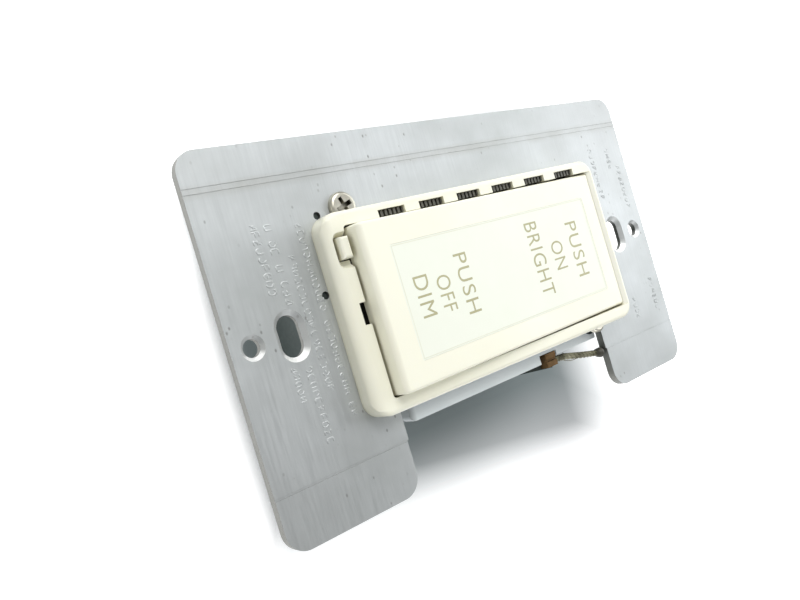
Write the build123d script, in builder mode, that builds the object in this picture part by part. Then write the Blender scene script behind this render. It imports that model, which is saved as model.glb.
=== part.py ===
"""Wall-box paddle dimmer: aluminium strap plate, ivory frame and paddle, small tab, housing behind.

Frame, in mm: the origin is midway between the two cover-plate screw holes, on the plate's back face.
+Z points out of the wall, +Y points to the ON/BRIGHT end, +X to the side with the plate's notch.
"""
import os
from math import atan, cos, sin

from build123d import *

os.makedirs("parts", exist_ok=True)

# strap plate
PLATE_T = 1.6
PLATE_X = 0.25
PLATE_W = 60.9
PLATE_L = 104.2
PLATE_CORNER_R = 3.5
COVER_HOLE_SPACING = 96.84
COVER_HOLE_R = 1.4
STRAP_SLOT_SPACING = 83.34
STRAP_SLOT_LEN = 6.6
STRAP_SLOT_W = 3.8
SCORE_LEFT_X = -23.5
SCORE_RIGHT_X = 22.0
NOTCH_X = 17.3
NOTCH_Y0 = -26.7
NOTCH_Y1 = 27.6

# ivory frame
BEZEL_W = 33.3
BEZEL_L = 66.7
BEZEL_TOP = 5.5
BEZEL_TOP_FAR = 6.5
END_R = 1.7
LIP_Z = 4.1
OPEN_HALF_X = 14.2
OPEN_Y0 = -29.75
OPEN_Y1 = 31.7
VENT_COUNT = 6
VENT_Y0 = -19.6
VENT_PITCH = 8.8
VENT_L = 5.6
VENT_DEPTH = 1.25
LOUVRE_X = -14.85
LOUVRE_TOP = 5.2
LOUVRE_STEP = 0.135

# paddle
PADDLE_HALF_X = 13.9
PADDLE_Y0 = -29.3
PADDLE_Y1 = 31.5
PADDLE_Z0 = 8.5
PADDLE_Z1 = 6.0
SKIRT_Z = 4.3
SHELL_T = 1.6
PIVOT_Y = 1.0
PIVOT_Z = 3.6
PIN_R = 0.6
STEM_ARM = 9.0

# tab
TAB_X0 = -12.5
TAB_X1 = -9.0
TAB_X = (TAB_X0 + TAB_X1) / 2
TAB_Y0 = -31.7
TAB_Y1 = -29.95

# ground lead
LEAD_R = 0.8

# housing
HOUSE_DEPTH = 26.0
HOUSE_WALL = 1.8
RAIL_T = 2.5
SIDE_CENTRE = (-0.95, 1.55)
BOARD_TOP = -6.4
BOARD_T = 1.6
SCREW_POINTS = [(-17.7, -26.3), (15.7, 26.3)]
SCREW_HEAD = 1.0
PEG_POINTS = [(-17.1, -31.3), (-4.5, -34.0)]
PEG_R = 0.6
TERMINAL_Y = [-10.0, 10.0]
TERMINAL_Z = -12.0


def save(piece, name):
    piece.label = name
    export_step(piece, f"parts/{name}.step")


def face_z(y):
    """Height of the paddle's front plane at y."""
    return PADDLE_Z0 + (PADDLE_Z1 - PADDLE_Z0) * (y - PADDLE_Y0) / (PADDLE_Y1 - PADDLE_Y0)


TILT = atan((PADDLE_Z1 - PADDLE_Z0) / (PADDLE_Y1 - PADDLE_Y0))
STEM_POINTS = {"dim": (0.0, PIVOT_Y - STEM_ARM), "bright": (0.0, PIVOT_Y + STEM_ARM)}
RIVET_POINT = (-6.0, 27.5)

# ---- strap plate ----------------------------------------------------------------------------
with BuildPart() as plate:
    with BuildSketch() as plate_outline:
        with Locations((PLATE_X, 0)):
            Rectangle(PLATE_W, PLATE_L)
        with Locations((NOTCH_X + 10, (NOTCH_Y0 + NOTCH_Y1) / 2)):
            Rectangle(20, NOTCH_Y1 - NOTCH_Y0, mode=Mode.SUBTRACT)
        with Locations((SCORE_RIGHT_X + 10, (NOTCH_Y0 + NOTCH_Y1) / 2)):
            Rectangle(20, NOTCH_Y1 - NOTCH_Y0 + 0.6, mode=Mode.SUBTRACT)
        right_edge = PLATE_X + PLATE_W / 2
        outer = [v for v in plate_outline.vertices() if abs(v.Y) > PLATE_L / 2 - 1 or v.X > right_edge - 1]
        fillet(outer, PLATE_CORNER_R)
    extrude(amount=PLATE_T)
    with BuildSketch(Plane.XY.offset(PLATE_T)):
        with Locations((SCORE_LEFT_X, 0), (SCORE_LEFT_X - 0.9, 0), (SCORE_RIGHT_X, 0)):
            Rectangle(0.35, PLATE_L + 2)
    extrude(amount=-0.07, mode=Mode.SUBTRACT)
    with BuildSketch():
        with GridLocations(0, COVER_HOLE_SPACING, 1, 2):
            Circle(COVER_HOLE_R)
        with GridLocations(0, STRAP_SLOT_SPACING, 1, 2):
            SlotOverall(STRAP_SLOT_LEN, STRAP_SLOT_W)
        with Locations(*SCREW_POINTS):
            Circle(1.2)
        with Locations(*PEG_POINTS):
            Circle(PEG_R + 0.05)
        with Locations(*STEM_POINTS.values()):
            Circle(1.5)
        with Locations(RIVET_POINT):
            Circle(1.55)
        with Locations((-10.75, -31.0)):
            Rectangle(3.0, 2.0)
    extrude(amount=PLATE_T, mode=Mode.SUBTRACT)
    front = plate.faces().filter_by(Axis.Z).group_by(Axis.Z)[-1]
    slot_rims = front.edges().filter_by(
        lambda e: abs(abs(e.center().Y) - STRAP_SLOT_SPACING / 2) < 3 and abs(e.center().X) < 4
    )
    chamfer(slot_rims, 0.8)
    front = plate.faces().filter_by(Axis.Z).group_by(Axis.Z)[-1]
    hole_rims = front.edges().filter_by(GeomType.CIRCLE).filter_by(
        lambda e: abs(abs(e.arc_center.Y) - COVER_HOLE_SPACING / 2) < 0.5 and abs(e.arc_center.X) < 1
    )
    chamfer(hole_rims, 0.6)
save(plate.part, "mounting_plate")

# ---- ivory frame ----------------------------------------------------------------------------
with BuildPart() as bezel:
    with BuildSketch(Plane.XY.offset(PLATE_T)):
        RectangleRounded(BEZEL_W, BEZEL_L, 3.0)
    extrude(amount=BEZEL_TOP_FAR + 0.5 - PLATE_T)
    # the top rises from the OFF/DIM end to the ON/BRIGHT end
    rise = (BEZEL_TOP_FAR - BEZEL_TOP) / (BEZEL_L - END_R)
    with BuildSketch(Plane.YZ.offset(-BEZEL_W / 2 - 1)):
        with BuildLine():
            Polyline(
                (-BEZEL_L / 2 - 1, BEZEL_TOP - (END_R + 1) * rise),
                (BEZEL_L / 2 + 1, BEZEL_TOP_FAR + rise),
                (BEZEL_L / 2 + 1, BEZEL_TOP_FAR + 2),
                (-BEZEL_L / 2 - 1, BEZEL_TOP_FAR + 2),
                close=True,
            )
        make_face()
    extrude(amount=BEZEL_W + 2, mode=Mode.SUBTRACT)
    fillet(bezel.faces().sort_by(Axis.Z)[-1].edges(), 0.8)
    with BuildSketch(Plane.YZ.offset(-BEZEL_W / 2 - 1)):
        with Locations(((END_R - BEZEL_L - 1) / 2, BEZEL_TOP + (1 - END_R) / 2)):
            Rectangle(END_R + 1, END_R + 1)
        with Locations((END_R - BEZEL_L / 2, BEZEL_TOP - END_R)):
            Circle(END_R, mode=Mode.SUBTRACT)
    extrude(amount=BEZEL_W + 2, mode=Mode.SUBTRACT)
    with BuildSketch(Plane.XY.offset(PLATE_T)):
        with Locations((0, 0.15)):
            RectangleRounded(31.0, 64.7, 2.0)
    extrude(amount=LIP_Z - PLATE_T, mode=Mode.SUBTRACT)
    with BuildSketch(Plane.XY.offset(PLATE_T)):
        with Locations((0, (OPEN_Y0 + OPEN_Y1) / 2)):
            RectangleRounded(2 * OPEN_HALF_X, OPEN_Y1 - OPEN_Y0, 0.6)
        with Locations(*[(-OPEN_HALF_X, VENT_Y0 + i * VENT_PITCH) for i in range(VENT_COUNT)]):
            Rectangle(2 * VENT_DEPTH, VENT_L)
        with Locations((0, OPEN_Y0)):
            Rectangle(3.6, 2.4)
        with Locations((TAB_X, OPEN_Y0)):
            RectangleRounded(3.9, 4.6, 0.6)
    extrude(amount=BEZEL_TOP_FAR - PLATE_T, mode=Mode.SUBTRACT)
    with BuildSketch(Plane.XY.offset(BEZEL_TOP + 0.15)):
        with Locations((TAB_X + 0.35, OPEN_Y0)):
            RectangleRounded(6.1, 5.5, 1.4)
    extrude(amount=-1.05, taper=38, mode=Mode.SUBTRACT)
    # the far end's inner edge slopes down to the paddle's end
    with BuildSketch(Plane.YZ.offset(-OPEN_HALF_X)):
        with BuildLine():
            Polyline(
                (OPEN_Y1 - 0.5, PADDLE_Z1 - 0.05),
                (OPEN_Y1, PADDLE_Z1 - 0.05),
                (OPEN_Y1 + 0.75, BEZEL_TOP_FAR),
                (OPEN_Y1 + 0.75, BEZEL_TOP_FAR + 1),
                (OPEN_Y1 - 0.5, BEZEL_TOP_FAR + 1),
                close=True,
            )
        make_face()
    extrude(amount=2 * OPEN_HALF_X, mode=Mode.SUBTRACT)
    with BuildSketch(Plane.XY.offset(PLATE_T)):
        with Locations(*SCREW_POINTS):
            Circle(2.85)
    extrude(amount=2.0, mode=Mode.SUBTRACT)
save(bezel.part, "bezel_frame")

# ---- ribbed louvres seen through the vents --------------------------------------------------------
with BuildPart() as louvres:
    with BuildSketch(Plane.XY.offset(PLATE_T + 0.6)):
        with Locations((LOUVRE_X, VENT_Y0 + 2.5 * VENT_PITCH)):
            Rectangle(1.0, 5 * VENT_PITCH + VENT_L)
    extrude(amount=1.6)
    for i in range(VENT_COUNT):
        louvre_y = VENT_Y0 + i * VENT_PITCH
        louvre_top = LOUVRE_TOP + i * LOUVRE_STEP
        with BuildSketch(Plane.XY.offset(PLATE_T + 0.6)):
            with Locations((LOUVRE_X, louvre_y)):
                Rectangle(1.0, VENT_L - 0.2)
        extrude(amount=louvre_top - PLATE_T - 0.6)
        with BuildSketch(Plane.XY.offset(louvre_top)):
            with Locations((LOUVRE_X, louvre_y)):
                with GridLocations(0, 0.9, 1, 6):
                    Rectangle(1.2, 0.4)
        extrude(amount=-0.5, mode=Mode.SUBTRACT)
save(louvres.part, "vent_louvres")

# ---- carrier under the paddle ---------------------------------------------------------------
with BuildPart() as chassis:
    with BuildSketch(Plane.XY.offset(PLATE_T)) as chassis_base:
        with Locations((0, 1.0)):
            Rectangle(30.4, 60.0)
        with Locations(*SCREW_POINTS):
            Circle(3.1, mode=Mode.SUBTRACT)
        with Locations(*STEM_POINTS.values()):
            Circle(1.6, mode=Mode.SUBTRACT)
        with Locations(RIVET_POINT):
            Circle(3.2, mode=Mode.SUBTRACT)
        with Locations((-9.6, PIVOT_Y), (9.6, PIVOT_Y)):
            Rectangle(2.6, 4.6, mode=Mode.SUBTRACT)
    extrude(amount=0.6)
    with BuildSketch(Plane.XY.offset(PLATE_T)):
        with Locations((-12.0, PIVOT_Y), (12.0, PIVOT_Y)):
            Rectangle(1.4, 3.4)
    extrude(amount=3.2)
    with BuildSketch(Plane.YZ.offset(-15)):
        with Locations((PIVOT_Y, PIVOT_Z)):
            Circle(PIN_R + 0.01)
    extrude(amount=30, mode=Mode.SUBTRACT)
save(chassis.part, "paddle_chassis")

with BuildPart() as pin:
    with BuildSketch(Plane.YZ.offset(-12.7)):
        with Locations((PIVOT_Y, PIVOT_Z)):
            Circle(PIN_R)
    extrude(amount=25.4)
save(pin.part, "pivot_pin")

# ---- paddle ---------------------------------------------------------------------------------
with BuildPart() as paddle:
    with BuildSketch(Plane.YZ.offset(-PADDLE_HALF_X)):
        with BuildLine():
            lean = (PADDLE_Z0 - SKIRT_Z) * sin(-TILT)
            Polyline(
                (PADDLE_Y0, SKIRT_Z),
                (PADDLE_Y0 + lean, face_z(PADDLE_Y0 + lean)),
                (PADDLE_Y1, face_z(PADDLE_Y1)),
                (PADDLE_Y1, 4.15),
                close=True,
            )
        make_face()
    extrude(amount=2 * PADDLE_HALF_X)
    top_face = paddle.faces().sort_by(Axis.Z)[-1]
    end_edge = top_face.edges().sort_by(Axis.Y)[0]
    fillet(end_edge, 0.9)
    side_edges = paddle.edges().filter_by(
        lambda e: abs(abs(e.center().X) - PADDLE_HALF_X) < 0.01 and e.center().Z > 5 and e.length > 40
    )
    fillet(side_edges, 0.5)
    with BuildSketch(Plane.YZ.offset(-PADDLE_HALF_X + 1.2)):
        with BuildLine():
            Polyline(
                (PADDLE_Y0 + 1.3, 3.0),
                (PADDLE_Y0 + 1.3, face_z(PADDLE_Y0 + 1.3) - SHELL_T),
                (PADDLE_Y1 - 1.2, face_z(PADDLE_Y1 - 1.2) - SHELL_T + 0.5),
                (PADDLE_Y1 - 1.2, 3.0),
                close=True,
            )
        make_face()
    extrude(amount=2 * (PADDLE_HALF_X - 1.2), mode=Mode.SUBTRACT)
    with BuildSketch(Plane.YZ.offset(-10.4)):
        with Locations((PIVOT_Y, PIVOT_Z)):
            Circle(1.5)
        with Locations((PIVOT_Y, PIVOT_Z + 1.3)):
            Rectangle(3.0, 2.6)
    extrude(amount=1.6)
    with BuildSketch(Plane.YZ.offset(8.8)):
        with Locations((PIVOT_Y, PIVOT_Z)):
            Circle(1.5)
        with Locations((PIVOT_Y, PIVOT_Z + 1.3)):
            Rectangle(3.0, 2.6)
    extrude(amount=1.6)
    with BuildSketch(Plane.YZ.offset(-11)):
        with Locations((PIVOT_Y, PIVOT_Z)):
            Circle(PIN_R + 0.05)
    extrude(amount=22, mode=Mode.SUBTRACT)
    face_plane = Plane(
        origin=(0, 0, face_z(0)), x_dir=(1, 0, 0), z_dir=(0, -sin(TILT), cos(TILT))
    )
    with BuildSketch(face_plane.offset(0.5)):
        with Locations((0.3, 1.8)):
            RectangleRounded(19.2, 52.0, 0.4)
    extrude(amount=-0.7, mode=Mode.SUBTRACT)
save(paddle.part, "rocker_paddle")

with BuildPart() as label:
    with BuildSketch(face_plane.offset(-0.2)):
        with Locations((0.3, 1.8)):
            RectangleRounded(19.16, 51.96, 0.38)
    extrude(amount=0.17)
save(label.part, "label_insert")

# ---- pull-out tab and its moving contact ---------------------------------------------------------
with BuildPart() as tab:
    with BuildSketch(Plane.XY.offset(1.9)):
        with Locations((TAB_X, -30.9)):
            Rectangle(5.2, 1.8)
    extrude(amount=0.7)
    with BuildSketch(Plane.XY.offset(1.9)):
        with Locations((TAB_X, (TAB_Y0 + TAB_Y1) / 2)):
            Rectangle(TAB_X1 - TAB_X0, TAB_Y1 - TAB_Y0)
    extrude(amount=4.6)
    fillet(tab.faces().sort_by(Axis.Z)[-1].edges(), 0.45)
    with BuildSketch(Plane.XY.offset(-3.0)):
        with Locations((TAB_X, -31.0)):
            Rectangle(2.0, 1.2)
    extrude(amount=5.0)
    with BuildSketch(Plane.XY.offset(-3.0)):
        with Locations((TAB_X, -29.3)):
            Rectangle(3.0, 4.6)
    extrude(amount=1.2)
save(tab.part, "airgap_slider")

with BuildPart() as moving_contact:
    with BuildSketch(Plane.XY.offset(-3.3)):
        with Locations((TAB_X, -28.4)):
            Rectangle(6.0, 1.6)
    extrude(amount=0.3)
save(moving_contact.part, "airgap_moving_contact")

with BuildPart() as fixed_contacts:
    with BuildSketch(Plane.XY.offset(BOARD_TOP)):
        with Locations((-12.6, -28.4), (-8.9, -28.4)):
            Rectangle(1.2, 1.4)
    extrude(amount=-3.65 - BOARD_TOP)
save(fixed_contacts.part, "airgap_fixed_contacts")

# ---- screws through the plate ------------------------------------------------------------------
with BuildPart() as screws:
    with BuildSketch(Plane.XY.offset(PLATE_T)):
        with Locations(*SCREW_POINTS):
            Circle(2.5)
    extrude(amount=SCREW_HEAD)
    fillet(screws.faces().filter_by(Axis.Z).group_by(Axis.Z)[-1].edges(), 0.6)
    with BuildSketch(Plane.XY.offset(PLATE_T)):
        with Locations(*SCREW_POINTS):
            Circle(1.1)
    extrude(amount=-9.0)
    with BuildSketch(Plane.XY.offset(PLATE_T + SCREW_HEAD)):
        with Locations(*SCREW_POINTS):
            Rectangle(3.1, 0.75, rotation=20)
            Rectangle(3.1, 0.75, rotation=110)
    extrude(amount=-0.9, mode=Mode.SUBTRACT)
save(screws.part, "housing_screws")

# ---- light rails along the housing's sides -------------------------------------------------------
with BuildPart() as rails:
    with BuildSketch():
        with Locations(SIDE_CENTRE):
            RectangleRounded(41.9, 51.3, 1.2)
        with Locations((-1.4, 0)):
            Rectangle(37.2, 66.0, mode=Mode.SUBTRACT)
        with Locations(SCREW_POINTS[1]):
            Circle(2.6, mode=Mode.SUBTRACT)
        with Locations((20.0, 12.1)):
            Rectangle(3.4, 4.9, mode=Mode.SUBTRACT)
        with Locations((20.0, 22.0)):
            Rectangle(1.4, 15.0, mode=Mode.SUBTRACT)
    extrude(amount=-RAIL_T)
save(rails.part, "side_rails")

# ---- housing -----------------------------------------------------------------------------------
with BuildPart() as housing:
    with BuildSketch():
        with Locations((-1.4, 0)):
            RectangleRounded(37.2, 66.0, 2.0)
    extrude(amount=-HOUSE_DEPTH)
    with BuildSketch(Plane.XY.offset(-RAIL_T)):
        with Locations(SIDE_CENTRE):
            RectangleRounded(41.9, 51.3, 1.2)
        with Locations(SCREW_POINTS[0]):
            Circle(2.9)
    extrude(amount=RAIL_T - HOUSE_DEPTH)
    with BuildSketch():
        with Locations((PEG_POINTS[1][0], -33.4)):
            Rectangle(2.2, 2.4)
    extrude(amount=-2.0)
    with BuildSketch():
        with Locations(*PEG_POINTS):
            Circle(PEG_R)
    extrude(amount=1.1)
    fillet(housing.faces().sort_by(Axis.Z)[0].edges(), 0.8)
    with BuildSketch():
        with Locations((-1.4, 0)):
            Rectangle(33.6, 62.4)
    extrude(amount=-(HOUSE_DEPTH - HOUSE_WALL), mode=Mode.SUBTRACT)
    with BuildSketch(Plane.XY.offset(-RAIL_T - HOUSE_WALL)):
        with Locations((0, SIDE_CENTRE[1])):
            Rectangle(36.4, 47.7)
    extrude(amount=-(HOUSE_DEPTH - RAIL_T - 2 * HOUSE_WALL), mode=Mode.SUBTRACT)
    with BuildSketch():
        with Locations(*SCREW_POINTS):
            Circle(2.6)
    extrude(amount=-HOUSE_DEPTH + 0.9)
    with BuildSketch():
        with Locations(*SCREW_POINTS):
            Circle(1.12)
    extrude(amount=-12, mode=Mode.SUBTRACT)
    with BuildSketch():
        with Locations((-10.9, -31.4)):
            Rectangle(7.4, 1.8)
    extrude(amount=-4.0, mode=Mode.SUBTRACT)
    with BuildSketch():
        with Locations((20.0, 22.0)):
            Rectangle(1.4, 15.0)
    extrude(amount=-HOUSE_DEPTH, mode=Mode.SUBTRACT)
    with BuildSketch(Plane.YZ.offset(-22.0)):
        with Locations(*[(y, TERMINAL_Z) for y in TERMINAL_Y]):
            Rectangle(9.0, 9.0)
    extrude(amount=2.1, mode=Mode.SUBTRACT)
    with BuildSketch(Plane.YZ.offset(-22.0)):
        with Locations(*[(y, TERMINAL_Z) for y in TERMINAL_Y]):
            Circle(1.55)
    extrude(amount=5.0, mode=Mode.SUBTRACT)
    with BuildSketch(Plane.XY.offset(-HOUSE_DEPTH)):
        with Locations((-1.0, 0)):
            Rectangle(24.2, 34.2)
    extrude(amount=0.25, mode=Mode.SUBTRACT)
save(housing.part, "back_housing")

with BuildPart() as back_label:
    with BuildSketch(Plane.XY.offset(-HOUSE_DEPTH + 0.25)):
        with Locations((-1.0, 0)):
            RectangleRounded(24.0, 34.0, 1.0)
    extrude(amount=-0.15)
save(back_label.part, "back_label")

# ---- terminals on the hidden side ---------------------------------------------------------------
with BuildPart() as terminal_plates:
    with BuildSketch(Plane.YZ.offset(-19.9)):
        with Locations(*[(y, TERMINAL_Z) for y in TERMINAL_Y]):
            Rectangle(8.4, 8.4)
            Circle(1.6, mode=Mode.SUBTRACT)
    extrude(amount=-1.0)
save(terminal_plates.part, "terminal_plates")

with BuildPart() as terminal_screws:
    with BuildSketch(Plane.YZ.offset(-20.9)):
        with Locations(*[(y, TERMINAL_Z) for y in TERMINAL_Y]):
            Circle(3.0)
    extrude(amount=-1.6)
    fillet(terminal_screws.faces().sort_by(Axis.X)[0:2].edges(), 0.6)
    with BuildSketch(Plane.YZ.offset(-20.9)):
        with Locations(*[(y, TERMINAL_Z) for y in TERMINAL_Y]):
            Circle(1.5)
    extrude(amount=2.9)
    with BuildSketch(Plane.YZ.offset(-22.5)):
        with Locations(*[(y, TERMINAL_Z) for y in TERMINAL_Y]):
            Rectangle(7.0, 0.8)
    extrude(amount=0.8, mode=Mode.SUBTRACT)
save(terminal_screws.part, "terminal_screws")

# ---- ground clip, barrier and lead at the plate's notch ------------------------------------------
with BuildPart() as barrier:
    with BuildSketch(Plane.XY.offset(-RAIL_T)):
        with BuildLine():
            Polyline((20.0, 1.5), (21.8, 14.4), (18.4, 14.4), (18.4, 9.8), (20.0, 9.8), close=True)
        make_face()
    extrude(amount=0.6)
save(barrier.part, "side_barrier")

with BuildPart() as clip:
    with BuildSketch(Plane.XY.offset(-1.9)):
        with Locations((19.8, 12.7)):
            Rectangle(2.7, 3.0)
    extrude(amount=1.9)
    with BuildSketch():
        with Locations((19.8, 12.7)):
            Rectangle(0.5, 3.4)
    extrude(amount=-0.3, mode=Mode.SUBTRACT)
save(clip.part, "ground_clip")

with BuildPart() as ground_lead:
    with BuildLine() as lead_path:
        FilletPolyline((20.3, 14.25, -0.95), (20.6, 17.5, -0.9), (21.6, 22.0, -0.3), (22.3, 25.6, 0.3), radius=4.0)
    with BuildSketch(Plane(origin=lead_path.line @ 0, z_dir=lead_path.line % 0)):
        Circle(LEAD_R)
    sweep()
save(ground_lead.part, "ground_lead")

with BuildPart() as solder:
    with Locations((22.4, 26.45, 0.35)):
        Sphere(1.2)
    with Locations((22.4, 28.6, 0.35)):
        Box(4, 2.0, 4, mode=Mode.SUBTRACT)
    with BuildSketch(Plane(origin=lead_path.line @ 1, z_dir=lead_path.line % 1).offset(-2.5)):
        Circle(LEAD_R)
    extrude(amount=2.5, mode=Mode.SUBTRACT)
save(solder.part, "ground_solder")

# ---- board and what stands on it ------------------------------------------------------------------
with BuildPart() as board:
    with BuildSketch(Plane.XY.offset(BOARD_TOP - BOARD_T)):
        with Locations((-1.4, 0.5)):
            Rectangle(33.0, 60.0)
        with Locations(*SCREW_POINTS):
            Circle(3.0, mode=Mode.SUBTRACT)
    extrude(amount=BOARD_T)
save(board.part, "circuit_board")

for name, (stem_x, stem_y) in STEM_POINTS.items():
    with BuildPart() as tact_body:
        with BuildSketch(Plane.XY.offset(BOARD_TOP)):
            with Locations((stem_x, stem_y)):
                RectangleRounded(6.0, 6.0, 0.5)
        extrude(amount=3.4)
        with BuildSketch(Plane.XY.offset(BOARD_TOP + 3.4)):
            with Locations((stem_x, stem_y)):
                Circle(1.35)
        extrude(amount=-2.4, mode=Mode.SUBTRACT)
    save(tact_body.part, f"tact_body_{name}")
    stem_top = face_z(stem_y) - SHELL_T - 0.35
    with BuildPart() as tact_stem:
        with BuildSketch(Plane.XY.offset(BOARD_TOP + 2.0)):
            with Locations((stem_x, stem_y)):
                Circle(1.0)
        extrude(amount=stem_top - BOARD_TOP - 2.0)
        fillet(tact_stem.faces().sort_by(Axis.Z)[-1].edges(), 0.3)
    save(tact_stem.part, f"tact_stem_{name}")

with BuildPart() as leaf:
    with BuildSketch(Plane.XZ.offset(-(PIVOT_Y + 9.0))):
        with Locations((4.6, 2.35)):
            Rectangle(3.0, 0.3)
    extrude(amount=18.0)
    with BuildSketch(Plane.XZ.offset(-(PIVOT_Y + 9.0))):
        with Locations((4.6, 2.75)):
            Rectangle(3.0, 0.5)
    extrude(amount=0.6)
    with BuildSketch(Plane.XZ.offset(-(PIVOT_Y - 8.4))):
        with Locations((4.6, 2.75)):
            Rectangle(3.0, 0.5)
    extrude(amount=0.6)
save(leaf.part, "return_leaf")

with BuildPart() as control_ic:
    with BuildSketch(Plane.XY.offset(BOARD_TOP)):
        with Locations((8.5, -10.0)):
            Rectangle(7.0, 10.0)
    extrude(amount=2.2)
    with Locations((8.5, -5.0, BOARD_TOP + 2.2)):
        Cylinder(0.9, 0.8, mode=Mode.SUBTRACT)
save(control_ic.part, "control_ic")

# ---- triac on the plate's back ---------------------------------------------------------------------
with BuildPart() as triac_pad:
    with BuildSketch():
        with Locations((RIVET_POINT[0], 22.8)):
            Rectangle(12.0, 16.6)
        with Locations(RIVET_POINT):
            Circle(1.6, mode=Mode.SUBTRACT)
    extrude(amount=-0.3)
save(triac_pad.part, "triac_pad")

with BuildPart() as triac:
    with BuildSketch(Plane.XY.offset(-0.3)):
        with Locations((RIVET_POINT[0], 22.9)):
            Rectangle(10.0, 15.0)
        with Locations(RIVET_POINT):
            Circle(1.6, mode=Mode.SUBTRACT)
    extrude(amount=-1.3)
    with BuildSketch(Plane.XY.offset(-1.6)):
        with Locations((RIVET_POINT[0], 19.9)):
            Rectangle(10.0, 9.0)
    extrude(amount=-3.0)
    with BuildSketch(Plane.XY.offset(-2.6)):
        with Locations(*[(RIVET_POINT[0] + dx, 14.4) for dx in (-2.54, 0, 2.54)]):
            Rectangle(0.8, 2.2)
    extrude(amount=-0.6)
    with BuildSketch(Plane.XY.offset(-2.6)):
        with Locations(*[(RIVET_POINT[0] + dx, 13.6) for dx in (-2.54, 0, 2.54)]):
            Rectangle(0.8, 0.6)
    extrude(amount=BOARD_TOP + 2.6)
save(triac.part, "triac")

with BuildPart() as rivet:
    with BuildSketch(Plane.XY.offset(PLATE_T)):
        with Locations(RIVET_POINT):
            Circle(2.6)
    extrude(amount=0.7)
    fillet(rivet.faces().sort_by(Axis.Z)[-1].edges(), 0.4)
    with BuildSketch(Plane.XY.offset(PLATE_T)):
        with Locations(RIVET_POINT):
            Circle(1.5)
    extrude(amount=-PLATE_T - 1.6)
    with BuildSketch(Plane.XY.offset(-1.6)):
        with Locations(RIVET_POINT):
            Circle(2.4)
    extrude(amount=-0.8)
save(rivet.part, "triac_rivet")

with BuildPart() as sheet:
    with BuildSketch():
        with Locations((-1.4, 1.0)):
            Rectangle(33.0, 56.0)
        with Locations((RIVET_POINT[0], 22.8)):
            Rectangle(12.4, 17.0, mode=Mode.SUBTRACT)
        with Locations(*SCREW_POINTS):
            Circle(2.9, mode=Mode.SUBTRACT)
        with Locations(*STEM_POINTS.values()):
            Circle(1.6, mode=Mode.SUBTRACT)
    extrude(amount=-0.3)
save(sheet.part, "insulator_sheet")

# ---- under the board ---------------------------------------------------------------------------------
BOARD_UNDER = BOARD_TOP - BOARD_T
CHOKE_X = -4.5
CHOKE_Y = -12.0
CHOKE_Z = BOARD_UNDER - 4.1
with BuildPart() as core:
    with Locations((CHOKE_X, CHOKE_Y, CHOKE_Z)):
        Torus(8.0, 2.8)
save(core.part, "choke_core")

with BuildPart() as winding:
    with Locations((CHOKE_X, CHOKE_Y, CHOKE_Z)):
        with PolarLocations(8.0, 18):
            Torus(3.5, 0.6, rotation=(90, 0, 0))
save(winding.part, "choke_winding")

with BuildPart() as film:
    with BuildSketch(Plane.XY.offset(BOARD_UNDER)):
        with Locations((11.4, -14.0)):
            RectangleRounded(6.0, 18.0, 0.8)
    extrude(amount=-12.0)
save(film.part, "film_capacitor")

with BuildPart() as electrolytic:
    with BuildSketch(Plane.XY.offset(BOARD_UNDER)):
        with Locations((8.0, 5.0)):
            Circle(5.0)
    extrude(amount=-13.0)
    fillet(electrolytic.faces().sort_by(Axis.Z)[0].edges(), 0.6)
save(electrolytic.part, "electrolytic_capacitor")

with BuildPart() as fuse:
    with BuildSketch(Plane.XZ.offset(-26.0)):
        with Locations((-2.0, BOARD_UNDER - 2.6)):
            Circle(2.6)
    extrude(amount=12.0)
save(fuse.part, "fuse_body")
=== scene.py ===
"""Looks, light and camera for the wall-box paddle dimmer. Metres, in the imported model's frame."""
import math
import random

import bmesh
import bpy
from mathutils import Matrix, Vector


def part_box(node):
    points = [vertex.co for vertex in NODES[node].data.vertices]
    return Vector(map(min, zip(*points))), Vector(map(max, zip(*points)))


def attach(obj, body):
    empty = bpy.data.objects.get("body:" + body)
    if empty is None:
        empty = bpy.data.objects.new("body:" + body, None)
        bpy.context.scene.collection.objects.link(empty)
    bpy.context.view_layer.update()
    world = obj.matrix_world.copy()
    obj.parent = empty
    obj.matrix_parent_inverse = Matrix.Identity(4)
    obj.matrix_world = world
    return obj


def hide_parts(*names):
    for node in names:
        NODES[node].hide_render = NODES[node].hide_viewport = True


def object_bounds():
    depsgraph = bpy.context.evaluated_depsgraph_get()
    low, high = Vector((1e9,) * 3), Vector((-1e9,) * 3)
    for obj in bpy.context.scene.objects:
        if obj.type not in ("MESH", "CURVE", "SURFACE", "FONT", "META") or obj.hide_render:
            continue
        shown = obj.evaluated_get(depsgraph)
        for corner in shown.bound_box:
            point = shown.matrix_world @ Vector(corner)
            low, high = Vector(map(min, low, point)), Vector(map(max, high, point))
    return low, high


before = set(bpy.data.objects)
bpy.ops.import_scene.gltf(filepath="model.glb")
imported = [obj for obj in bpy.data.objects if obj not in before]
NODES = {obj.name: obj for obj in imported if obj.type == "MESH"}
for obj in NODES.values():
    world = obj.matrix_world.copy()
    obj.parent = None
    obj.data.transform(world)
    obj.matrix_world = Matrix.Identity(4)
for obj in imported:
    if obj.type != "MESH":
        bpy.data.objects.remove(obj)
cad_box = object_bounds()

MM = 0.001
PLATE_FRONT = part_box("mounting_plate")[1][2]
FLOOR_Z = cad_box[0][2]
SCORE_MIDDLE_X = -0.02395

# the paddle's front plane at rest and the label on it, in mm
PADDLE_Y0, PADDLE_Y1 = -29.3, 31.5
PADDLE_Z0, PADDLE_Z1 = 8.5, 6.0
LABEL_X0, LABEL_X1 = -9.1, 9.7
LABEL_Y0, LABEL_Y1 = -23.95, 27.55

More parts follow.
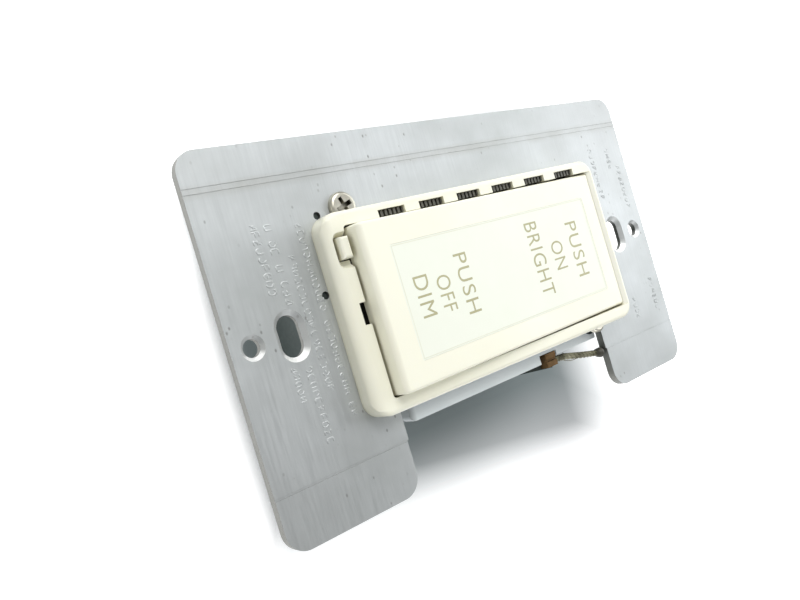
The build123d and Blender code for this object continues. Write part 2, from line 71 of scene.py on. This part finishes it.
# the bare lead, from the clip to the plate's leg, in mm
LEAD_ROUTE = ((20.3, 14.25, -0.95), (20.6, 17.5, -0.9), (21.6, 22.0, -0.3), (22.3, 25.6, 0.3))
STRANDS_IN_LEAD = 5
STRAND_R = 0.29
STRAND_LAY_R = 0.43
LEAD_TURNS = 2.6
STRAYS = 3
STRAY_R = 0.07


# ---- shader helpers ---------------------------------------------------------------------------
class Shader:
    """A Principled material with short ways to add procedural detail to it."""

    def __init__(self, name, color, rough, metal=0.0, spec=0.5):
        self.mat = bpy.data.materials.new(name)
        self.mat.use_nodes = True
        self.tree = self.mat.node_tree
        self.bsdf = self.tree.nodes["Principled BSDF"]
        self.bsdf.inputs["Base Color"].default_value = (*color, 1)
        self.bsdf.inputs["Roughness"].default_value = rough
        self.bsdf.inputs["Metallic"].default_value = metal
        self.bsdf.inputs["Specular IOR Level"].default_value = spec
        self.coord_node = self.tree.nodes.new("ShaderNodeTexCoord")
        self.coord = self.coord_node.outputs["Object"]

    def node(self, kind, **values):
        made = self.tree.nodes.new(kind)
        for key, value in values.items():
            setattr(made, key, value)
        return made

    def link(self, a, b):
        self.tree.links.new(a, b)

    def scaled(self, scale, shift=(0, 0, 0)):
        mapping = self.node("ShaderNodeMapping")
        mapping.inputs["Scale"].default_value = scale
        mapping.inputs["Location"].default_value = shift
        self.link(self.coord, mapping.inputs["Vector"])
        return mapping.outputs["Vector"]

    def noise(self, scale, detail=3.0, rough=0.5, shift=(0, 0, 0)):
        tex = self.node("ShaderNodeTexNoise")
        tex.inputs["Scale"].default_value = 1.0
        tex.inputs["Detail"].default_value = detail
        tex.inputs["Roughness"].default_value = rough
        self.link(self.scaled(scale, shift), tex.inputs["Vector"])
        return tex.outputs["Fac"]

    def cells(self, scale):
        tex = self.node("ShaderNodeTexVoronoi")
        tex.inputs["Scale"].default_value = 1.0
        self.link(self.scaled(scale), tex.inputs["Vector"])
        return tex.outputs["Distance"]

    def span(self, value, low, high, out_low=0.0, out_high=1.0):
        rng = self.node("ShaderNodeMapRange")
        rng.inputs["From Min"].default_value = low
        rng.inputs["From Max"].default_value = high
        rng.inputs["To Min"].default_value = out_low
        rng.inputs["To Max"].default_value = out_high
        self.link(value, rng.inputs["Value"])
        return rng.outputs["Result"]

    def math(self, how, a, b):
        op = self.node("ShaderNodeMath", operation=how)
        for i, v in enumerate((a, b)):
            if isinstance(v, (int, float)):
                op.inputs[i].default_value = v
            else:
                self.link(v, op.inputs[i])
        return op.outputs["Value"]

    def times(self, a, b):
        return self.math("MULTIPLY", a, b)

    def absolute(self, value):
        return self.math("ABSOLUTE", value, 0.0)

    def axis(self, which):
        """The object's own coordinate, in metres."""
        split = self.node("ShaderNodeSeparateXYZ")
        self.link(self.coord, split.inputs["Vector"])
        return split.outputs[which]

    def facing(self, which):
        """The object-space normal's part along one axis."""
        split = self.node("ShaderNodeSeparateXYZ")
        self.link(self.coord_node.outputs["Normal"], split.inputs["Vector"])
        return split.outputs[which]

    def band(self, which, centre, half, soft):
        """1 inside a band of the object's own coordinate, falling to 0 over soft."""
        off = self.absolute(self.math("SUBTRACT", self.axis(which), centre))
        return self.span(off, half, half + soft, 1.0, 0.0)

    def crevice(self, reach, low, high):
        """1 in a narrow corner, 0 in the open."""
        ao = self.node("ShaderNodeAmbientOcclusion", samples=8)
        ao.inputs["Distance"].default_value = reach
        return self.span(ao.outputs["AO"], low, high, 1.0, 0.0)

    def mix(self, factor, a, b):
        mixer = self.node("ShaderNodeMix", data_type="RGBA")
        if isinstance(factor, (int, float)):
            mixer.inputs["Factor"].default_value = factor
        else:
            self.link(factor, mixer.inputs["Factor"])
        colors = [s for s in mixer.inputs if s.type == "RGBA"]
        for socket, value in zip(colors, (a, b)):
            if isinstance(value, tuple):
                socket.default_value = (*value, 1)
            else:
                self.link(value, socket)
        return [s for s in mixer.outputs if s.type == "RGBA"][0]

    def color(self, out):
        self.link(out, self.bsdf.inputs["Base Color"])

    def rough(self, out):
        self.link(out, self.bsdf.inputs["Roughness"])

    def bump(self, height, distance, strength=1.0):
        node = self.node("ShaderNodeBump")
        node.inputs["Distance"].default_value = distance
        node.inputs["Strength"].default_value = strength
        self.link(height, node.inputs["Height"])
        self.link(node.outputs["Normal"], self.bsdf.inputs["Normal"])


def aluminium():
    s = Shader("rolled_aluminium", (0.58, 0.60, 0.605), 0.5, metal=0.75, spec=0.4)
    streak = s.noise((120, 2300, 120), 4.0, 0.6)
    fine = s.noise((420, 5200, 420), 2.0, 0.5, (3, 1, 2))
    cloud = s.noise((48, 36, 48), 4.0, 0.6, (5, 0, 1))
    tone = s.mix(s.span(streak, 0.3, 0.7), (0.525, 0.55, 0.555), (0.60, 0.625, 0.63))
    tone = s.mix(s.span(cloud, 0.36, 0.68, 0.0, 0.85), tone, (0.42, 0.44, 0.435))

    # dark specks, in patches
    dots = s.span(s.cells((420, 620, 420)), 0.07, 0.15, 1.0, 0.0)
    specks = s.times(dots, s.span(s.noise((110, 90, 110), 2.0, 0.5, (9, 4, 0)), 0.48, 0.58))
    tone = s.mix(s.span(specks, 0.0, 1.0, 0.0, 0.7), tone, (0.20, 0.20, 0.19))

    # a broken dark streak between the two score lines
    worn = s.span(s.noise((300, 200, 300), 3.0), 0.3, 0.6, 0.1, 0.35)
    tone = s.mix(s.times(s.band("X", SCORE_MIDDLE_X, 0.0005, 0.0009), worn), tone, (0.38, 0.38, 0.35))

    # shade painted on: the notch side of the tab end, then the far end, then the cut edges
    near_notch = s.span(s.axis("X"), -0.004, 0.022)
    tab_end = s.span(s.axis("Y"), -0.052, -0.022, 1.0, 0.0)
    tone = s.mix(s.times(s.times(near_notch, tab_end), 0.5), tone, (0.38, 0.39, 0.385))
    far_end = s.span(s.axis("Y"), 0.020, 0.045)
    vent_side = s.span(s.axis("X"), -0.028, -0.006, 1.0, 0.0)
    tone = s.mix(s.times(s.times(far_end, vent_side), 0.45), tone, (0.42, 0.43, 0.43))
    cut_edge = s.math("SUBTRACT", 1.0, s.span(s.absolute(s.facing("Z")), 0.25, 0.6))
    tone = s.mix(s.times(cut_edge, 0.85), tone, (0.17, 0.17, 0.155))

    # painted light on the chamfers round the slots and holes, a painted highlight brightest on the notch side
    chamfer = s.times(s.span(s.facing("Z"), 0.84, 0.92, 1.0, 0.0), s.span(s.facing("Z"), 0.5, 0.6))
    in_row = s.span(s.absolute(s.axis("X")), 0.0044, 0.0047, 1.0, 0.0)
    past_frame = s.span(s.absolute(s.axis("Y")), 0.0386, 0.0389)
    rim = s.times(chamfer, s.times(in_row, past_frame))
    bright = s.times(rim, s.span(s.facing("X"), -0.45, -0.25, 1.0, 0.0))
    tone = s.mix(s.times(rim, 0.4), tone, (0.72, 0.73, 0.73))
    tone = s.mix(bright, tone, (0.97, 0.98, 0.97))
    s.color(tone)

    s.rough(s.span(streak, 0.25, 0.75, 0.46, 0.58))
    height = s.math("ADD", s.times(streak, 0.6), s.times(fine, 0.4))
    s.bump(s.math("SUBTRACT", height, s.times(specks, 0.8)), 0.00004, 0.5)
    return s.mat


def ivory():
    s = Shader("ivory_plastic", (0.90, 0.89, 0.74), 0.38, spec=0.45)
    cloud = s.noise((60, 60, 60), 3.0)
    tone = s.mix(s.span(cloud, 0.3, 0.7), (0.905, 0.898, 0.765), (0.885, 0.873, 0.73))
    grain = s.noise((2600, 2600, 2600), 2.0)
    # darker brown in the narrow crevices, in patches
    patches = s.span(s.noise((420, 420, 420), 3.0, 0.6, (2, 7, 1)), 0.25, 0.7, 0.35, 1.0)
    crevice_darkening = s.times(s.crevice(0.0011, 0.30, 0.75), patches)
    tone = s.mix(s.times(crevice_darkening, 0.75), tone, (0.38, 0.33, 0.17))

    # painted highlight on the short slope inside the frame's far end
    far_end = s.span(s.axis("Y"), 0.0313, 0.0316)
    inner_slope = s.times(far_end, s.span(s.facing("Y"), -0.4, -0.25, 1.0, 0.0))
    tone = s.mix(inner_slope, tone, (0.99, 0.985, 0.87))
    s.color(tone)
    s.rough(s.span(cloud, 0.3, 0.7, 0.33, 0.45))
    s.bump(grain, 0.00002, 0.35)
    s.bsdf.inputs["Subsurface Weight"].default_value = 0.06
    s.bsdf.inputs["Subsurface Radius"].default_value = (0.001, 0.0009, 0.0006)
    s.bsdf.inputs["Subsurface Scale"].default_value = 0.5
    return s.mat


def film(name, a, b, rough=0.42):
    s = Shader(name, a, rough, spec=0.45)
    mottled = s.noise((120, 120, 120), 4.0, 0.6)
    fleck = s.noise((1500, 1500, 1500), 2.0)
    s.color(s.mix(s.span(mottled, 0.3, 0.7), a, b))
    s.rough(s.span(fleck, 0.3, 0.7, rough - 0.05, rough + 0.08))
    s.bump(fleck, 0.000012, 0.4)
    return s.mat


def moulded(name, a, b, rough=0.5, grain=1800, depth=0.00003):
    s = Shader(name, a, rough, spec=0.4)
    cloud = s.noise((90, 90, 90), 3.0)
    pits = s.noise((grain, grain, grain), 2.0)
    tone = s.mix(s.span(cloud, 0.3, 0.7), a, b)
    # painted shade: darker in narrow crevices
    tone = s.mix(s.times(s.crevice(0.002, 0.2, 0.8), 0.35), tone, tuple(0.4 * v for v in a))
    s.color(tone)
    s.rough(s.span(pits, 0.3, 0.7, rough - 0.06, rough + 0.08))
    s.bump(pits, depth, 0.5)
    return s.mat


def rail():
    """Light plastic with painted shade at the end next to the plate's notch."""
    s = Shader("rail_plastic", (0.77, 0.82, 0.84), 0.42, spec=0.4)
    tone = s.mix(s.span(s.noise((90, 90, 90), 3.0), 0.3, 0.7), (0.74, 0.80, 0.82), (0.80, 0.85, 0.87))
    tone = s.mix(s.span(s.axis("Y"), -0.0241, -0.0226, 0.8, 0.0), tone, (0.16, 0.18, 0.18))
    s.color(tone)
    s.bump(s.noise((1100, 1100, 1100), 2.0), 0.00005, 0.5)
    return s.mat


def metal(name, a, b, rough=0.3, scale=(900, 900, 900), stain=None):
    s = Shader(name, a, rough, metal=1.0)
    drift = s.noise(tuple(0.25 * v for v in scale), 3.0)
    fine = s.noise(scale, 3.0, 0.6, (1, 2, 3))
    tone = s.mix(s.span(drift, 0.3, 0.7), a, b)
    if stain:
        tone = s.mix(s.crevice(0.0009, 0.25, 0.8), tone, stain)
    s.color(tone)
    s.rough(s.span(fine, 0.3, 0.7, rough - 0.06, rough + 0.1))
    s.bump(fine, 0.00002, 0.4)
    return s.mat


def laminate():
    s = Shader("board_laminate", (0.08, 0.26, 0.13), 0.35, spec=0.5)
    warp = s.span(s.noise((3000, 90, 90)), 0.3, 0.7)
    weft = s.span(s.noise((90, 3000, 90)), 0.3, 0.7)
    weave = s.math("ADD", warp, weft)
    s.color(s.mix(s.span(weave, 0.6, 1.4), (0.07, 0.24, 0.12), (0.11, 0.31, 0.16)))
    s.rough(s.span(weave, 0.6, 1.4, 0.3, 0.42))
    s.bump(weave, 0.00002, 0.4)
    return s.mat


IVORY = ivory()
PLATE = aluminium()
DARK = moulded("dark_moulding", (0.055, 0.055, 0.048), (0.09, 0.085, 0.07), 0.5)
LOUVRE = moulded("louvre_moulding", (0.085, 0.085, 0.072), (0.12, 0.115, 0.095), 0.55)
EPOXY = moulded("black_epoxy", (0.035, 0.035, 0.038), (0.05, 0.05, 0.05), 0.42)
RAIL = rail()
HOUSING = moulded("housing_plastic", (0.045, 0.06, 0.058), (0.06, 0.075, 0.072), 0.5, 1100, 0.00005)
NICKEL = metal(
    "nickel_screw", (0.52, 0.50, 0.42), (0.68, 0.66, 0.57), 0.34, (1500, 1500, 1500), (0.05, 0.045, 0.03)
)
STEEL = metal("spring_steel", (0.52, 0.53, 0.54), (0.62, 0.63, 0.64), 0.28)
BRASS = metal(
    "contact_brass", (0.66, 0.50, 0.22), (0.75, 0.60, 0.32), 0.27, (900, 900, 900), (0.16, 0.10, 0.04)
)
COPPER = metal(
    "tarnished_copper", (0.13, 0.08, 0.035), (0.25, 0.155, 0.08), 0.6, (1300, 1300, 1300), (0.07, 0.045, 0.02)
)
WOUND = metal("enamelled_copper", (0.55, 0.22, 0.10), (0.66, 0.30, 0.14), 0.25)
CAN = metal("can_sleeve", (0.22, 0.24, 0.32), (0.28, 0.30, 0.38), 0.4)
PAPER = film("rating_paper", (0.80, 0.82, 0.81), (0.74, 0.76, 0.75), 0.6)
FISH = moulded("insulating_paper", (0.022, 0.030, 0.027), (0.040, 0.050, 0.045), 0.65, 900, 0.00006)
PAD = moulded("silicone_pad", (0.55, 0.57, 0.59), (0.48, 0.50, 0.52), 0.6)
FERRITE = moulded("ferrite", (0.09, 0.09, 0.095), (0.13, 0.13, 0.135), 0.55, 700, 0.00008)
AMBER = film("dipped_film", (0.72, 0.44, 0.08), (0.64, 0.36, 0.05), 0.3)
LABEL = film("printed_film", (0.86, 0.885, 0.785), (0.84, 0.865, 0.76), 0.44)
INK = film("legend_ink", (0.47, 0.45, 0.27), (0.42, 0.40, 0.235), 0.5)
SOLDER = moulded("dark_solder", (0.035, 0.034, 0.026), (0.10, 0.095, 0.075), 0.4, 900, 0.00012)
STRANDS = metal(
    "tinned_strands", (0.06, 0.058, 0.036), (0.28, 0.27, 0.19), 0.42, (1400, 1400, 1400), (0.05, 0.045, 0.03)
)

FINISH = {
    "mounting_plate": PLATE,
    "bezel_frame": IVORY,
    "rocker_paddle": IVORY,
    "airgap_slider": IVORY,
    "label_insert": LABEL,
    "paddle_chassis": DARK,
    "vent_louvres": LOUVRE,
    "tact_stem_dim": DARK,
    "tact_stem_bright": DARK,
    "back_housing": HOUSING,
    "side_rails": RAIL,
    "housing_screws": NICKEL,
    "pivot_pin": STEEL,
    "return_leaf": STEEL,
    "triac_rivet": STEEL,
    "airgap_moving_contact": BRASS,
    "airgap_fixed_contacts": BRASS,
    "terminal_plates": BRASS,
    "terminal_screws": BRASS,
    "ground_clip": COPPER,
    "side_barrier": FISH,
    "insulator_sheet": FISH,
    "circuit_board": laminate(),
    "tact_body_dim": EPOXY,
    "tact_body_bright": EPOXY,
    "triac": EPOXY,
    "control_ic": EPOXY,
    "triac_pad": PAD,
    "choke_core": FERRITE,
    "choke_winding": WOUND,
    "film_capacitor": AMBER,
    "electrolytic_capacitor": CAN,
    "fuse_body": PAPER,
    "back_label": PAPER,
}
for name, material in FINISH.items():
    mesh = NODES[name].data
    mesh.materials.clear()
    mesh.materials.append(material)


# ---- mesh helpers -----------------------------------------------------------------------------
def add_mesh(name, verts, faces, material, body, smooth=True):
    mesh = bpy.data.meshes.new(name)
    mesh.from_pydata([tuple(v) for v in verts], [], faces)
    mesh.materials.append(material)
    if smooth:
        mesh.polygons.foreach_set("use_smooth", [True] * len(mesh.polygons))
    mesh.update()
    made = bpy.data.objects.new(name, mesh)
    bpy.context.scene.collection.objects.link(made)
    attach(made, body)
    return made


def tube(verts, faces, path, radius, sides):
    """Adds a round tube with closed ends along path (a list of Vectors) to verts and faces."""
    base = len(verts)
    side = Vector((0, 0, 1))
    for i, point in enumerate(path):
        ahead = path[min(i + 1, len(path) - 1)] - path[max(i - 1, 0)]
        ahead.normalize()
        side = (side - ahead * side.dot(ahead)).normalized()
        over = ahead.cross(side)
        for k in range(sides):
            turn = 2 * math.pi * k / sides
            verts.append(point + (side * math.cos(turn) + over * math.sin(turn)) * radius)
    for i in range(len(path) - 1):
        for k in range(sides):
            a = base + i * sides + k
            b = base + i * sides + (k + 1) % sides
            faces.append((a, b, b + sides, a + sides))
    faces.append(tuple(base + k for k in reversed(range(sides))))
    last = base + (len(path) - 1) * sides
    faces.append(tuple(last + k for k in range(sides)))


def smooth_path(points, per_run):
    """Points along a smooth curve through the given route."""
    pts = [Vector(p) for p in points]
    pts = [pts[0] * 2 - pts[1]] + pts + [pts[-1] * 2 - pts[-2]]
    out = []
    for i in range(1, len(pts) - 2):
        p0, p1, p2, p3 = pts[i - 1 : i + 3]
        for k in range(per_run):
            t = k / per_run
            out.append(0.5 * (2 * p1 + (p2 - p0) * t + (2 * p0 - 5 * p1 + 4 * p2 - p3) * t * t
                              + (3 * p1 - p0 - 3 * p2 + p3) * t ** 3))
    out.append(pts[-2])
    return out


# ---- legends on the paddle ----------------------------------------------------------------------
FACE_RISE = (PADDLE_Z1 - PADDLE_Z0) / (PADDLE_Y1 - PADDLE_Y0)
FACE_AT_ZERO = PADDLE_Z0 - PADDLE_Y0 * FACE_RISE
FACE = Matrix.Translation((0, 0, FACE_AT_ZERO * MM)) @ Matrix.Rotation(math.atan(FACE_RISE), 4, "X")


def legend(name, word, x0, x1, baseline, cap):
    """A printed word fitted between x0 and x1, its letters' tops towards +Y, in mm on the paddle face."""
    curve = bpy.data.curves.new(name, "FONT")
    curve.body = word
    curve.size = 4.0
    curve.space_character = 1.12
    curve.resolution_u = 6
    curve.extrude = 0.01
    curve.offset = -0.012
    text = bpy.data.objects.new(name + "_text", curve)
    bpy.context.scene.collection.objects.link(text)
    bpy.context.view_layer.update()
    mesh = bpy.data.meshes.new_from_object(text.evaluated_get(bpy.context.evaluated_depsgraph_get()))
    bpy.data.objects.remove(text)
    low = [min(v.co[i] for v in mesh.vertices) for i in range(3)]
    high = [max(v.co[i] for v in mesh.vertices) for i in range(3)]
    wide = (x1 - x0) / (high[0] - low[0])
    tall = cap / (high[1] - low[1])
    flat = Matrix(
        (
            (wide, 0, 0, x0 - low[0] * wide),
            (0, tall, 0, baseline - low[1] * tall),
            (0, 0, 1, -0.026),
            (0, 0, 0, 1),
        )
    )
    mesh.transform(FACE @ Matrix.Scale(MM, 4) @ flat)
    mesh.materials.clear()
    mesh.materials.append(INK)
    mesh.name = name
    made = bpy.data.objects.new(name, mesh)
    bpy.context.scene.collection.objects.link(made)
    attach(made, "paddle")


LEGENDS = (
    ("legend_on_push", "PUSH", -5.2, 5.75, 20.2, 3.45),
    ("legend_on", "ON", -2.4, 3.15, 14.25, 3.4),
    ("legend_on_bright", "BRIGHT", -7.1, 7.05, 8.3, 3.6),
    ("legend_off_push", "PUSH", -5.1, 5.45, -11.5, 3.1),
    ("legend_off", "OFF", -2.35, 3.85, -16.75, 3.1),
    ("legend_off_dim", "DIM", -3.3, 3.6, -21.55, 3.1),
)
for words in LEGENDS:
    legend(*words)


def label_border():
    """The thin printed line round the label, a little darker than the film."""
    verts, faces = [], []
    for inset, rise in ((0.0, -0.029), (0.0, -0.018), (0.16, -0.018), (0.16, -0.029)):
        left, right = LABEL_X0 + inset, LABEL_X1 - inset
        low, high = LABEL_Y0 + inset, LABEL_Y1 - inset
        for x, y in ((left, low), (right, low), (right, high), (left, high)):
            verts.append(FACE @ (Vector((x, y, rise)) * MM))
    for ring in range(4):
        for k in range(4):
            a, b = ring * 4 + k, ring * 4 + (k + 1) % 4
            c, d = (ring + 1) % 4 * 4 + (k + 1) % 4, (ring + 1) % 4 * 4 + k
            faces.append((a, b, c, d))
    line = film("label_line", (0.72, 0.73, 0.60), (0.80, 0.81, 0.68), 0.5)
    made = add_mesh("label_line", verts, faces, line, "paddle", smooth=False)


label_border()


# ---- worn raised marks on the plate ----------------------------------------------------------------
MARK_SINK = 0.01
MARK_HALF = 0.12

# each row's first x, last x, y, mark size and pitch, in mm
MARK_ROWS = (
    (-17.3, -6.0, -42.8, 1.5, 1.28),
    (-16.8, -4.6, -40.4, 1.5, 1.28),
    (-11.4, 10.6, -37.9, 1.3, 1.22),
    (-16.2, 15.0, -35.1, 1.3, 1.22),
    (5.0, 10.8, -43.0, 1.2, 1.15),
    (5.7, 17.4, -40.6, 1.3, 1.22),
    (-20.3, -8.0, 40.9, 1.3, 1.3),
    (-18.6, -14.6, 46.6, 1.3, 1.3),
    (-14.2, -4.6, 49.0, 1.3, 1.25),
    (14.8, 19.2, 41.3, 1.3, 1.2),
    (11.9, 18.6, 48.8, 1.3, 1.25),
)


def stamp_rows():
    """Rows of small raised strokes that say nothing, as worn embossing does."""
    rng = random.Random(11)
    verts, faces = [], []

    def ridge(points, half, rise):
        base = len(verts)
        shape = ((-1.0, 0.0), (-0.55, 0.75), (0.0, 1.0), (0.55, 0.75), (1.0, 0.0))
        for i, (x, y) in enumerate(points):
            nx, ny = points[min(i + 1, len(points) - 1)]
            px, py = points[max(i - 1, 0)]
            ahead = Vector((nx - px, ny - py, 0)).normalized()
            across = Vector((-ahead.y, ahead.x, 0))
            end = 0.15 if i in (0, len(points) - 1) else 1.0
            for off, lift in shape:
                spot = Vector((x, y, 0)) + across * off * half * (0.5 + 0.5 * end)
                height = PLATE_FRONT + (lift * rise * end - MARK_SINK) * MM
                verts.append(Vector((spot.x * MM, spot.y * MM, height)))
        for i in range(len(points) - 1):
            for k in range(4):
                a = base + i * 5 + k
                faces.append((a, a + 5, a + 6, a + 1))

    def run(x, y, size, ends):
        (u0, v0), (u1, v1) = ends
        return [(x + (u0 + (u1 - u0) * k / 5) * size, y + (v0 + (v1 - v0) * k / 5) * size) for k in range(6)]

    strokes = (
        ((-0.28, -0.42), (-0.28, 0.42)),
        ((0.28, -0.42), (0.28, 0.42)),
        ((-0.28, 0.42), (0.28, 0.42)),
        ((-0.28, 0.0), (0.28, 0.0)),
        ((-0.28, -0.42), (0.28, -0.42)),
        ((-0.28, -0.42), (0.28, 0.42)),
    )

    def mark(x, y, size):
        rise = rng.uniform(0.06, 0.11)
        if rng.random() < 0.4:
            start = rng.uniform(0, 2 * math.pi)
            turn = rng.uniform(3.4, 5.6)
            angles = [start + turn * k / 10 for k in range(11)]
            arc = [(x + 0.3 * size * math.cos(a), y + 0.42 * size * math.sin(a)) for a in angles]
            ridge(arc, MARK_HALF * size, rise)
            picked = rng.sample(strokes, 1)
        else:
            picked = rng.sample(strokes, 3)
        for ends in picked:
            ridge(run(x, y, size, ends), MARK_HALF * size, rise)

    def row(x0, x1, y, size, pitch):
        x = x0
        while x < x1:
            if rng.random() > 0.03:
                mark(x, y, size)
            x += pitch * rng.uniform(0.92, 1.08)

    for place in MARK_ROWS:
        row(*place)
    made = add_mesh("plate_marks", verts, faces, PLATE, "device")


stamp_rows()


# ---- twisted lead and its solder -----------------------------------------------------------------
def twisted_lead():
    """Bare strands laid in a loose twist along the lead's route."""
    spine = smooth_path([Vector(p) * MM for p in LEAD_ROUTE], 28)
    rng = random.Random(4)
    verts, faces = [], []
    for strand in range(STRANDS_IN_LEAD):
        phase = strand * 2 * math.pi / STRANDS_IN_LEAD
        wobble = rng.uniform(0.02, 0.06)
        path = []
        side = Vector((0, 0, 1))
        for i, point in enumerate(spine):
            ahead = (spine[min(i + 1, len(spine) - 1)] - spine[max(i - 1, 0)]).normalized()
            side = (side - ahead * side.dot(ahead)).normalized()
            over = ahead.cross(side)
            t = i / (len(spine) - 1)
            turn = phase + t * 2 * math.pi * LEAD_TURNS
            waver = 0.97 + wobble * math.sin(9 * t + strand)
            loose = STRAND_LAY_R * waver * (0.92 + 0.06 * math.sin(5.0 * t))
            path.append(point + (side * math.cos(turn) + over * math.sin(turn)) * loose * MM)
        tube(verts, faces, path, STRAND_R * MM, 8)
    for _ in range(STRAYS):
        start = rng.randrange(4, 40)
        turn = rng.uniform(0, 2 * math.pi)
        path = []
        for k in range(9):
            point = spine[start + 3 * k]
            out = (0.62 + 0.35 * math.sin(math.pi * k / 8)) * MM
            path.append(point + Vector((math.cos(turn + 0.25 * k), 0, math.sin(turn + 0.25 * k))) * out)
        tube(verts, faces, path, STRAY_R * MM, 6)
    made = add_mesh("lead_strands", verts, faces, STRANDS, "device")
    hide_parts("ground_lead")


def solder_blob():
    """A lumpy dark joint between the strands and the plate's leg."""
    low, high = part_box("ground_solder")
    middle = (Vector(low) + Vector(high)) / 2
    half = (Vector(high) - Vector(low)) / 2
    rng = random.Random(8)
    bm = bmesh.new()
    bmesh.ops.create_icosphere(bm, subdivisions=4, radius=1.0)
    bumps = []
    for _ in range(9):
        way = Vector([rng.uniform(-1, 1) for _ in range(3)]).normalized()
        bumps.append((way, rng.uniform(0.06, 0.2)))
    for v in bm.verts:
        spot = v.co.normalized()
        dip = sum(depth * max(0.0, spot.dot(way)) ** 6 for way, depth in bumps)
        v.co = spot * (1.0 - dip)
        v.co = Vector(middle) + Vector((v.co.x * half.x, v.co.y * half.y, v.co.z * half.z))
    mesh = bpy.data.meshes.new("solder_joint")
    bm.to_mesh(mesh)
    bm.free()
    mesh.polygons.foreach_set("use_smooth", [True] * len(mesh.polygons))
    mesh.materials.append(SOLDER)
    made = bpy.data.objects.new("solder_joint", mesh)
    bpy.context.scene.collection.objects.link(made)
    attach(made, "device")
    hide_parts("ground_solder")


twisted_lead()
solder_blob()


# ---- floor, light, camera --------------------------------------------------------------------------
bpy.ops.mesh.primitive_plane_add(size=4.0, location=(0, 0, FLOOR_Z))
floor = bpy.context.object
floor.name = "floor"
paper = Shader("pale_floor", (0.93, 0.93, 0.935), 0.7, spec=0.2)
off_x = paper.absolute(paper.math("SUBTRACT", paper.axis("X"), 0.003))
along = paper.axis("Y")
skew = paper.math("SUBTRACT", off_x, paper.times(along, 0.15))


def beyond(side, near_x, far_x, low_far, low_near, high_near, high_far):
    """0 under the device, 1 on the open floor round it."""
    low_end = paper.span(along, low_far, low_near, 1.0, 0.0)
    ends = paper.math("MAXIMUM", low_end, paper.span(along, high_near, high_far))
    return paper.math("MAXIMUM", paper.span(side, near_x, far_x), ends)


# a painted shadow under the device, and painted light, a glow that washes out the floor round it
clear = beyond(off_x, 0.025, 0.048, -0.043, -0.037, 0.038, 0.068)
paper.color(paper.mix(clear, (0.31, 0.355, 0.36), (0.93, 0.93, 0.935)))
glow = beyond(skew, 0.0325, 0.0455, -0.045, -0.040, 0.042, 0.070)
paper.link(paper.times(glow, 0.9), paper.bsdf.inputs["Emission Strength"])
paper.bsdf.inputs["Emission Color"].default_value = (1, 1, 1, 1)
floor.data.materials.append(paper.mat)

world = bpy.data.worlds.new("studio")
bpy.context.scene.world = world
world.use_nodes = True
world.node_tree.nodes["Background"].inputs["Color"].default_value = (0.97, 0.985, 1.0, 1)
world.node_tree.nodes["Background"].inputs["Strength"].default_value = 0.33


def softbox(name, place, aim, size, power, tint=(1, 1, 1)):
    light = bpy.data.lights.new(name, "AREA")
    light.shape = "RECTANGLE"
    light.size, light.size_y = size
    light.energy = power
    light.color = tint
    lamp = bpy.data.objects.new(name, light)
    lamp.location = place
    lamp.rotation_euler = (Vector(aim) - Vector(place)).to_track_quat("-Z", "Y").to_euler()
    bpy.context.scene.collection.objects.link(lamp)


softbox("key", (-0.52, 0.0, 0.58), (0, 0, 0), (0.6, 0.6), 4.8, (1.0, 0.995, 0.98))
softbox("back", (-0.12, 0.63, 0.37), (0, 0, 0), (0.6, 0.35), 2.3, (0.97, 0.985, 1.0))
softbox("fill", (0.55, 0.12, 0.30), (0, 0, 0), (0.4, 0.3), 0.9)
softbox("front", (-0.05, -0.6, 0.10), (0, 0, 0), (0.4, 0.2), 0.35, (1.0, 0.97, 0.86))

camera_data = bpy.data.cameras.new("camera")
camera_data.lens = 33.42
camera_data.sensor_width = 36
camera_data.clip_start = 0.005
camera = bpy.data.objects.new("camera", camera_data)
eye = Vector((-0.00224, -0.09565, 0.10175))
target = Vector((-0.0003, -0.0190, 0.0))
camera.matrix_world = (
    Matrix.Translation(eye)
    @ (target - eye).to_track_quat("-Z", "Y").to_matrix().to_4x4()
    @ Matrix.Rotation(math.radians(74.5), 4, "Z")
)
bpy.context.scene.collection.objects.link(camera)
bpy.context.scene.camera = camera
bpy.context.scene.view_settings.view_transform = "Standard"
